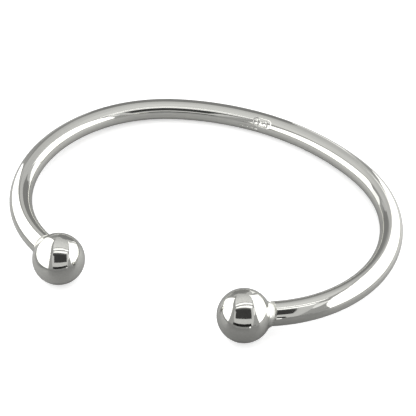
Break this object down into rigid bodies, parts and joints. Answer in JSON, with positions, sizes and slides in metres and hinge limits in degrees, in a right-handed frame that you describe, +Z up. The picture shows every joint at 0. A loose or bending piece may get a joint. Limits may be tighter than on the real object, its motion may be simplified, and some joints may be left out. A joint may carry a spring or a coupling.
{
  "type": "torque bangle",
  "caption": "Open oval bangle of round polished silver bar, flattened at the back, with a plain ball soldered to each end and a gap between the balls for the wrist.",
  "frame": {"origin": "on the surface that the bangle lies on, under the middle of its bounding box", "axes": "+X across the wrist, to the wearer's side of the wider bend; +Y towards the closed back, with the opening between the balls facing -Y; +Z up from the surface, along the wrist"},
  "size_m": [0.071, 0.056, 0.0088],
  "materials": {
    "polished_silver": "mirror polished silver"
  },
  "bodies": {
    "root": {"bangle": "polished_silver"}
  },
  "joints": []
}
